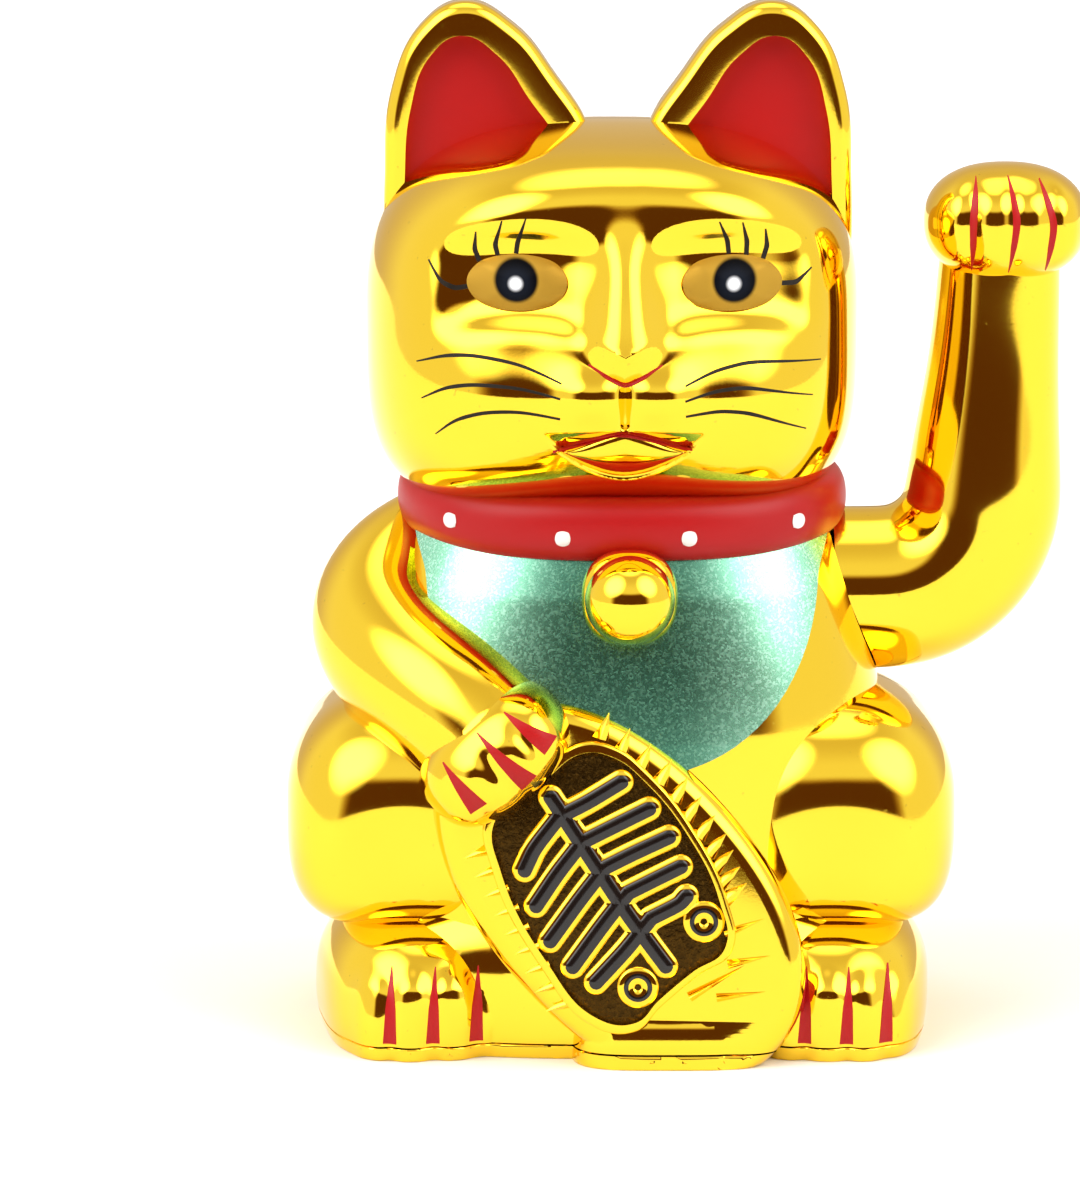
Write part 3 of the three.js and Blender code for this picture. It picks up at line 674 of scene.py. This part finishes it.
ink = dark_print()
STROKES = {
    "lash_right_1": [(-20.4, 114.9), (-21.1, 116.6), (-20.9, 119.2)],
    "lash_right_2": [(-17.8, 115.8), (-18.2, 117.4), (-17.2, 120.9)],
    "lash_right_3": [(-15.2, 116.1), (-15.0, 117.8), (-13.8, 121.4)],
    "lash_right_outer": [(-21.9, 111.4), (-23.9, 111.0), (-26.0, 112.0), (-27.6, 114.9)],
    "lash_left_1": [(14.8, 116.0), (14.6, 118.0), (13.4, 120.8)],
    "lash_left_2": [(17.3, 115.7), (17.4, 117.8), (16.7, 120.6)],
    "lash_left_3": [(19.7, 115.1), (20.3, 117.0), (20.0, 119.5)],
    "lash_left_outer": [(22.0, 111.6), (24.5, 111.6), (26.7, 113.6)],
    "whisker_right_1": [(-29.3, 100.6), (-25.3, 101.9), (-21.2, 102.2), (-14.7, 101.2), (-8.8, 98.7)],
    "whisker_right_2": [(-28.6, 95.5), (-25.3, 97.4), (-21.2, 98.2), (-14.7, 97.9), (-9.0, 96.6)],
    "whisker_right_3": [(-26.6, 90.5), (-23.9, 92.9), (-19.8, 94.3), (-14.7, 94.6), (-9.0, 93.7)],
    "whisker_left_1": [(28.0, 100.7), (17.8, 101.4), (12.8, 100.3), (8.5, 98.4)],
    "whisker_left_2": [(26.8, 95.9), (17.3, 97.9), (12.8, 97.5), (8.5, 96.3)],
    "whisker_left_3": [(25.9, 91.1), (17.8, 94.2), (13.5, 94.7), (8.6, 94.1)],
}
for name, path in STROKES.items():
    widths = (0.65, 0.7, 0.2) if name.startswith("lash") else (0.18, 0.55, 0.5, 0.3)
    finished(laid(name, 40, 2, along_stroke(path, widths), 0.05, sink=0.08), ink)
for name, (x, z, _) in EYES.items():
    turn = np.linspace(math.radians(-8), math.radians(188), 14)
    lid = [(x + 7.0 * math.cos(t), z - EYE_DROP + 3.75 * math.sin(t)) for t in turn]
    finished(laid(name.replace("eye", "lid"), 60, 2, along_stroke(lid, (0.25, 0.5, 0.25)), 0.05, sink=0.1),
             ink)


# Nose tip, mouth line and claws: brushed on by hand in the ears' red. The claws are wedges
# that widen towards the tips of the toes.
def red_stroke(name, path, widths, thick=0.10, target=front_of, body="casing"):
    stroke = laid(name, 40, 4, along_stroke(path, widths), thick, target, sink=0.12)
    return finished(stroke, red, body)


red_stroke("nose_line", [(-5.0, 101.4), (-2.5, 99.7), (0.1, 98.3), (2.8, 99.7), (5.3, 101.3)],
           (0.25, 0.6, 0.7, 0.6, 0.25))
red_stroke("mouth_line", [(-10.0, 88.6), (-5.5, 89.9), (-0.6, 91.6), (4.4, 90.2), (9.6, 88.8)],
           (0.35, 0.7, 0.75, 0.7, 0.35))
CLAW_THICK = 0.05
for side, name in ((-1, "foot_claw_right"), (1, "foot_claw_left")):
    for i, gap in enumerate(TOE_GAPS[side], 1):
        red_stroke(f"{name}_{i}", [(gap + 0.2, 13.6), (gap, 8), (gap - 0.15, 2.8)], (0.15, 1.5, 2.0),
                   CLAW_THICK)
CLAWS = [((-16.9, 52.2), (-10.4, 47.6)), ((-20.7, 49.4), (-13.4, 42.4)), ((-25.5, 45), (-20.5, 38.7))]
for i, (start, end) in enumerate(CLAWS, 1):
    middle = ((start[0] + end[0]) / 2, (start[1] + end[1]) / 2)
    red_stroke(f"paw_claw_{i}", [start, middle, end], (0.2, 1.7, 3.0), CLAW_THICK)


# Collar: a round red band moulded over the neck and painted, with small white dots. It rises
# a little towards the sides.
COLLAR_Z, COLLAR_WIDE, COLLAR_DEEP = 76.4, 33.0, 29.6
COLLAR_HALF, COLLAR_THICK, COLLAR_POWER = 4.7, 3.8, 2.4
TORUS_RADIUS = 10
collar = started("collar", bpy.ops.mesh.primitive_torus_add, major_segments=224, minor_segments=48,
                 major_radius=TORUS_RADIUS, minor_radius=1)
points = points_of(collar)
ring = np.hypot(points[:, 0], points[:, 1])
away, up = ring - TORUS_RADIUS, points[:, 2]
spin = points[:, :2] / ring[:, None]
reach = (np.abs(spin[:, 0] / (COLLAR_WIDE - COLLAR_THICK)) ** COLLAR_POWER
         + np.abs(spin[:, 1] / (COLLAR_DEEP - COLLAR_THICK)) ** COLLAR_POWER) ** (-1 / COLLAR_POWER)
reach += np.sign(away) * np.abs(away) ** 0.8 * COLLAR_THICK
rise = 1.3 * (spin[:, 0] ** 2) * ramp(np.abs(spin[:, 0]), 0.5, 1)
band = COLLAR_Z + rise + COLLAR_HALF * np.sign(up) * np.abs(up) ** 0.85
move_points(collar, np.stack([spin[:, 0] * reach + 0.2, spin[:, 1] * reach, band], axis=1))
collar_front = BVHTree.FromObject(collar, bpy.context.evaluated_depsgraph_get())
finished(collar, red)

white = Finish("white_paint")
white_tone = white.mix(white.noise(1200), (0.85, 0.84, 0.84, 1), (0.72, 0.70, 0.71, 1))
white.wear({"Base Color": white_tone, "Roughness": 0.4})
DOTS = [(-24.7, 76.9, 0.85), (-8.6, 75.4, 1.0), (9.4, 75.4, 1.0), (25.2, 76.8, 0.85)]
for i, (x, z, wide) in enumerate(DOTS, 1):
    def spot(u, v, x=x, z=z, wide=wide):
        a, b = disc(u, v)
        return x + wide * a, z + 1.0 * b
    finished(laid(f"collar_dot_{i}", 10, 10, spot, 0.1, collar_front, sink=0.15, dome=0.25), white.material)


# Bell: a plated ball with a thin lip round it, moulded below the collar. It mirrors the whole
# room in little.
BELL_X, BELL_Z = 0.9, 67.3
bell = rounded("bell", (BELL_X, -33.4, BELL_Z), (6.4, 6.4, 6.4))
lip = rounded("bell_lip", (BELL_X, -31.2, BELL_Z), (6.85, 3.6, 6.85), power=2.4, rings=48)
finished(combine(bell, lip), gold_chrome)


# Bib: a raised apron moulded on the chest, sprayed with green metal flake under lacquer. Its colour is
# painted darker in the middle, where it faces the viewer, and paler at its turned-away edges: painted shade
# and painted sheen.
def green_flake_painted_sheen():
    green = Finish("green_flake_painted_sheen")
    flakes = green.node("TexVoronoi", {}, {"Vector": green.place(), "Scale": 3600.0}, output="Color")
    flake = green.node("SeparateColor", {}, {0: flakes})
    glitter = green.step(flake, 0.55, 1.0)
    # painted shade: the darker flake colour of the middle; painted sheen: the paler flake colour of the
    # edges
    painted_shade_green = green.mix(glitter, (0.065, 0.21, 0.14, 1), (0.14, 0.35, 0.24, 1))
    painted_sheen_green = green.mix(glitter, (0.30, 0.68, 0.47, 1), (0.50, 0.88, 0.68, 1))
    x = green.node("SeparateXYZ", {}, {0: green.place()})
    # the painted sheen grows with the distance from the middle in x, and the painted shade fills the middle
    edge = green.step(abs(x), 0.006, 0.026)
    return green.wear({"Base Color": green.mix(edge, painted_shade_green, painted_sheen_green), "Metallic": 0.9,
                       "Roughness": 0.27 + 0.06 * glitter, "Normal": green.bump(flake, 0.00004, 0.35)})


chest_form = turned("chest", TORSO, front=TORSO_FRONT, back=TORSO_BACK)
chest = BVHTree.FromObject(chest_form, bpy.context.evaluated_depsgraph_get())
BIB = [(-26.6, 77), (-27.4, 68), (-25.4, 58), (-20, 49.2), (-11.6, 43.4), (0, 41),
       (11.6, 43.4), (20, 49.2), (25.4, 58), (27.4, 68), (26.6, 77), (0, 79)]
finished(laid("bib", 90, 90, inside_loop(BIB), 0.75, chest, sink=0.6), green_flake_painted_sheen())
bpy.data.objects.remove(chest_form)


# Coin face: a sunk, textured tablet with a raised rim, a plain fern in black enamel between
# raised gold edges, and short rays round it. All of it is moulded, plated and then inked.
def on_coin(u, v, out=0.0):
    """A point on the coin's face: u runs along it, v across it, out stands off it."""
    c, s = math.cos(COIN_TURN), math.sin(COIN_TURN)
    return (COIN_X + u * c - v * s, -out, COIN_Z + u * s + v * c)


TABLET = [(-21.6, -6.2), (-21.2, 4), (-20.4, 11), (-16.8, 14.1), (-11, 15.2), (-0.7, 14.6), (10.2, 11.4),
          (16.2, 7), (15.6, 1), (15.4, -6), (15.6, -11), (11, -15), (0, -14.9), (-15.5, -10.6)]


def tablet_outline(name, margin):
    """The tablet's outline, brought in by about a margin."""
    half_long, half_wide = 18, 14
    spots = [on_coin(u * (1 - margin / half_long), v * (1 - margin / half_wide)) for u, v in TABLET]
    return bent_outline([(x, z) for x, _, z in spots], name)


tablet = slab(tablet_outline("coin_tablet", 0), -1.3, 1.5, edge=0.55, steps=4)
combine(tablet, slab(tablet_outline("sunk", 1.1), -4, -0.3, edge=0.3, steps=3), "DIFFERENCE")
tablet.data.transform(lean)
finished(tablet, gold_chrome)

ground = slab(tablet_outline("coin_ground", 1.0), -0.45, 0.5, edge=0.1, steps=1)
ground.data.transform(lean)
rough = Finish("pressed_gold")
pits = rough.noise(1500, 4)
rough.wear({"Base Color": rough.mix(pits, (0.012, 0.007, 0.003, 1), (0.10, 0.05, 0.008, 1)), "Metallic": 1.0,
            "Roughness": 0.16 + 0.2 * pits, "Normal": rough.bump(pits, 0.00025, 0.8)})
finished(ground, rough.material)

FERN = [[(-17.5, 2.5), (-8, 1.0), (2, -0.6), (11.5, -1.5)]]
LEAVES = [((2.2, 11.4), (2.4, -7.2)), ((2.8, 11.8), (2.4, -9.4)), ((2.8, 11.2), (2.6, -11.3)),
          ((2.2, 9.6), (2.6, -11.4)), ((1.0, 7.4), (1.6, -10.4))]
for i, ((up_u, up_v), (down_u, down_v)) in enumerate(LEAVES):
    u = -14.6 + 4.9 * i
    FERN.append([(u, 1.6), (u + 1.2, 6), (u + up_u, up_v)])
    FERN.append([(u, 1.6), (u + 1.0, -4), (u + down_u, down_v)])
FERN_RINGS, FERN_OUT = ((11.2, 7.3), (12, -7)), 0.45


def fern(name, wide, tall, ring_wide):
    flatten = Matrix.Diagonal((1, tall / wide, 1, 1)) @ Matrix.Rotation(math.pi / 2, 4, "X")
    strokes = [swept("stroke", [on_coin(u, v, FERN_OUT) for u, v in line], [wide] * len(line), around=20,
                     flat=tall / wide, steps=24, passes=10) for line in FERN]
    for u, v in FERN_RINGS:
        ring = started("ring", bpy.ops.mesh.primitive_torus_add, major_segments=48, minor_segments=16,
                       major_radius=1.7, minor_radius=ring_wide)
        ring.data.transform(Matrix.Translation(on_coin(u * 0.93, v * 0.93, FERN_OUT)) @ flatten)
        strokes.append(ring)
    whole = combine(strokes[0], strokes[1:])
    whole.name = name
    whole.data.transform(lean)
    return whole


finished(fern("coin_edging", 1.85, 0.62, 1.3), gold_chrome)
enamel = Finish("black_enamel")
enamel.wear({"Base Color": enamel.mix(enamel.noise(300), (0.004, 0.003, 0.003, 1), (0.010, 0.007, 0.006, 1)),
             "Roughness": 0.12 + 0.06 * enamel.noise(700), "Coat Weight": 0.1})
finished(fern("coin_enamel", 1.42, 0.76, 0.85), enamel.material)

ARC_X, ARC_Z = (-3.2, 6.1, 11.9, 14.6), (47.6, 40.6, 32, 24.6)
LEFT_RAYS = [((-19.2 + 1.45 * i, 31.8 - 2.75 * i), (-0.93, -0.37), 3.7, 1.8) for i in range(9)]
RIGHT_RAYS = [((np.interp(t, range(4), ARC_X), np.interp(t, range(4), ARC_Z)),
               (0.30 + 0.15 * t, 0.95 - 0.13 * t), 3.9, 2.5) for t in np.linspace(0, 3, 11)]
LOW_RAYS = [((14.5, 19.6), (0.93, 0.36), 6.0, 1.5), ((15, 15.2), (0.96, 0.2), 6.2, 1.4),
            ((9.5, 10.5), (0.86, 0.5), 9, 1.5), ((13.4, 10.4), (0.98, 0.12), 7, 1.3)]
rays = []
for (x, z), (dx, dz), long, wide in LEFT_RAYS + RIGHT_RAYS + LOW_RAYS:
    ray = started("ray", bpy.ops.mesh.primitive_cone_add, vertices=4, radius1=1, radius2=0.04, depth=2,
                  location=(0, 0, 0))
    size = Matrix.Diagonal((wide / 2, 0.95, long / 2, 1))
    place = Matrix.Translation((x + dx * long / 2, -0.05, z + dz * long / 2))
    ray.data.transform(place @ Matrix.Rotation(math.atan2(dx, dz), 4, "Y") @ size)
    rays.append(ray)
only(*rays)
bpy.ops.object.join()
coin_rays = bpy.context.object
coin_rays.name = "coin_rays"
soft = coin_rays.modifiers.new("soft", "BEVEL")
soft.width, soft.segments = 0.12, 2
bpy.ops.object.modifier_apply(modifier="soft")
coin_rays.data.transform(lean)
finished(coin_rays, gold_chrome)


# Waving arm: two plated half shells, glued round a square peg, with a paw whose knuckles are
# parted by red lines. It turns about the shoulder's axis.
def arm_form(name, thinner=0.0, around=160, rings=128):
    """The arm and paw as one closed form, or the hollow in it when it is thinner."""
    elbow, turns = 15, np.linspace(0, math.pi / 2, 9)
    bend = [(38.6 + elbow * math.sin(t), 0, 78.4 - elbow * math.cos(t)) for t in turns]
    upper = [(54.0, 0, 86), (54.6, 0, 94), (55.1, 0, 102), (55.4, 0, 110), (55.6, 0, 116)]
    radii = [12, 12, 12, 12, 12, 11.95, 11.9, 11.8, 11.7, 11.6, 11.5, 10.7, 9.8, 9.2, 8.95, 8.6]
    limb = swept(name, [(28, 0, 63.4), (33, 0, 63.4)] + bend + upper, [r - thinner for r in radii],
                 around=around, steps=90, passes=20)
    paw = rounded("paw", (56, -2.2, 118), (11.9 - thinner, 10.2 - thinner, 8.6 - thinner), power=2.3,
                  around=around * 3 // 2, rings=rings)
    if not thinner:
        points = points_of(paw)
        x, y, z = points.T
        for middle in (47.4, 53.4, 59.0, 64.6):
            y -= 1.3 * hump(x - middle, 2.5, 3) * ramp(-y, 2, 9) * hump(z - 117.5, 7.5, 4)
        move_points(paw, points)
    return combine(limb, paw)


ARM_ROOT, ARM_WALL, ARM_TAPER = SEAT_X + 0.4, 1.5, 0.6
arm = combine(arm_form("arm_front_visual"), box_between((0, -20, 40), (ARM_ROOT, 20, 90)), "DIFFERENCE")
combine(arm, rounded("dimple", (42.4, -9.6, 76.0), (0.75, 2.2, 1.9), around=48, rings=32), "DIFFERENCE")
arm_skin = BVHTree.FromObject(arm, bpy.context.evaluated_depsgraph_get())
arm_inner = combine(arm_form("arm_inner", thinner=ARM_WALL + ARM_TAPER, around=48, rings=32),
                    box_between((0, -20, 40), (ARM_ROOT + ARM_WALL, 20, 90)), "DIFFERENCE")
combine(arm, arm_inner, "DIFFERENCE")
combine(arm, shoulder_rod(AXLE_HOLE, 30, 45), "DIFFERENCE")
arm_back = twin(arm, "arm_back_visual")
combine(arm, box_between((20, -HALF_GAP, 40), (80, 30, 140)), "DIFFERENCE")
combine(arm_back, box_between((20, -30, 40), (80, HALF_GAP, 140)), "DIFFERENCE")
for half, node in ((arm, "arm_front_half"), (arm_back, "arm_back_half")):
    finished(half, gold_chrome, body="waving_arm")
    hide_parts(node)
KNUCKLE_LINES = [[(51.2, 125.0), (50.6, 119), (50.7, 111.6)], [(55.7, 125.2), (56.9, 119), (55.9, 111.4)],
                 [(60.2, 124.8), (62.3, 118.5), (61.3, 111.6)]]
for i, line in enumerate(KNUCKLE_LINES, 1):
    red_stroke(f"knuckle_line_{i}", line, (0.1, 0.9, 1.1, 0.9, 0.1), 0.05, arm_skin, "waving_arm")


# Base plate: the plated plate that closes the shells from below, with its battery bay, posts
# and screw sinks. Its edge follows the outline of the feet.
def merged_copy(node, name):
    """A copy of a CAD node in millimetres, with its loose triangles joined."""
    piece = bpy.data.objects.new(name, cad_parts[node].data.copy())
    bpy.context.collection.objects.link(piece)
    piece.data.transform(Matrix.Scale(1000, 4))
    return merged(piece)


plate = merged_copy("base_plate", "base_plate_visual")
room = combine(twin(plate_form, "room"), box_between((-38, -26, 1.9), (38, 26.5, 40)))
combine(plate, room, "INTERSECT")
combine(plate_form, box_between((-37, -27, -1), (37, 60, 3)), "DIFFERENCE")
combine(plate, plate_form)
finished(plate, gold_chrome)
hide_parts("base_plate")


# Works and fixings: the pieces inside keep their forms, each in its own material. They are
# natural moulded plastic, nickel-plated steel, ferrite, enamelled copper and a masked board.
def worked(name, first, second, scale, values):
    """A material whose colour drifts between two tones, with a fine bump."""
    stuff = Finish(name)
    drift = stuff.noise(scale, 3)
    for key, (low, spread) in values.items():
        stuff.wear({key: low + spread * drift})
    return stuff.wear({"Base Color": stuff.mix(drift, (*first, 1), (*second, 1)),
                       "Normal": stuff.bump(stuff.noise(1500), 0.00002, 0.3)})


WORKS = {
    "white_moulding": ((0.76, 0.74, 0.68), (0.66, 0.64, 0.58), 60, {"Roughness": (0.38, 0.15)}),
    "nickel_steel": ((0.66, 0.65, 0.63), (0.52, 0.51, 0.50), 120,
                     {"Roughness": (0.22, 0.2), "Metallic": (1, 0)}),
    "ferrite": ((0.07, 0.07, 0.075), (0.11, 0.11, 0.115), 400, {"Roughness": (0.5, 0.2)}),
    "copper": ((0.62, 0.24, 0.09), (0.42, 0.14, 0.05), 90,
               {"Roughness": (0.25, 0.15), "Metallic": (0.9, 0)}),
    "masked_board": ((0.018, 0.12, 0.05), (0.012, 0.085, 0.035), 70, {"Roughness": (0.25, 0.15)}),
    "black_case": ((0.012, 0.012, 0.013), (0.022, 0.022, 0.024), 300, {"Roughness": (0.3, 0.2)}),
    "blue_wrap": ((0.03, 0.12, 0.34), (0.025, 0.09, 0.26), 80, {"Roughness": (0.22, 0.12)}),
    "red_insulation": ((0.42, 0.018, 0.012), (0.34, 0.014, 0.010), 150, {"Roughness": (0.3, 0.15)}),
}
MADE_OF = {
    "white_moulding": ["pivot_bracket", "pendulum_lever", "coil_bobbin"],
    "nickel_steel": ["base_screw_1", "base_screw_2", "base_screw_3", "base_screw_4", "bracket_screw_1",
                     "bracket_screw_2", "pivot_axle", "axle_clip", "counterweight", "battery_spring",
                     "battery_contact_plus"],
    "ferrite": ["pendulum_magnet"],
    "copper": ["coil_winding"],
    "masked_board": ["circuit_board"],
    "black_case": ["transistor", "lead_black"],
    "blue_wrap": ["capacitor", "aa_cell"],
    "red_insulation": ["resistor", "lead_red"],
}
for name, looks in WORKS.items():
    material = worked(name, *looks)
    for node in MADE_OF[name]:
        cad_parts[node].data.materials[0] = material
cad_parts["battery_door"].data.materials[0] = gold_chrome

bpy.data.objects.remove(skin)


# Studio: a pale floor, white all round, dim in front where the camera's side of the room is,
# and a broad soft light above on either side. The plating doesn't mirror the floor beyond
# the table's edge, so that the dim side shows in it.
TABLE_EDGE, FAR_EDGE = -2000, 3000
paper = Finish("pale_floor")
paper_tone = paper.mix(paper.noise(9), (0.80, 0.81, 0.82, 1), (0.78, 0.79, 0.80, 1))
paper.wear({"Base Color": paper_tone, "Roughness": 0.9})
for name, near, far in (("floor", TABLE_EDGE, FAR_EDGE), ("far_floor", -FAR_EDGE, TABLE_EDGE)):
    floor = box_between((-FAR_EDGE, near, -20), (FAR_EDGE, far, -0.05), name)
    floor.data.transform(TO_METRES)
    floor.data.materials.append(paper.material)
    floor.visible_glossy = name == "floor"

surround = bpy.data.worlds.new("surround")
bpy.context.scene.world = surround
surround.use_nodes = True
air = Nodes(surround.node_tree)
way = air.node("TexCoord", output="Generated")
parts = air.node("SeparateXYZ", {}, {0: way})
across, along, height = (Wire(air, parts.socket.node.outputs[axis]) for axis in "XYZ")
ahead = -1 * along
beside = abs(across) / ahead.maths("MAXIMUM", ahead, 0.01)
dim = (1 - air.step(beside, 0.75, 1.35)) * (1 - air.step(height, 0.34, 0.48)) * ahead.over(0)
level = 0.97 - 0.87 * dim - 0.30 * air.step(along, 0.4, 0.9) - 0.20 * air.step(height, 0.60, 0.95)
warm = {0: level, 1: level.maths("POWER", level, 1.45), 2: level.maths("POWER", level, 2.0)}
light = air.node("CombineXYZ", {}, warm)
SOFT_LIGHTS = [((-0.62, -0.45, 0.64), 0.86, 0.985, 4.6), ((0.66, -0.42, 0.62), 0.87, 0.985, 4.2),
               ((0.0, 0.1, 1.0), 0.90, 0.99, 2)]
for direction, rim, core, power in SOFT_LIGHTS:
    facing = air.node("VectorMath", {"operation": "DOT_PRODUCT"},
                      {0: way, 1: Vector(direction).normalized()}, output="Value")
    glow = power * air.step(facing, rim, core)
    glow = air.node("CombineXYZ", {}, {0: glow, 1: glow, 2: glow})
    light = air.node("VectorMath", {"operation": "ADD"}, {0: light, 1: glow})
air.link(light, surround.node_tree.nodes["Background"].inputs["Color"])

bpy.context.scene.view_settings.view_transform = "Standard"
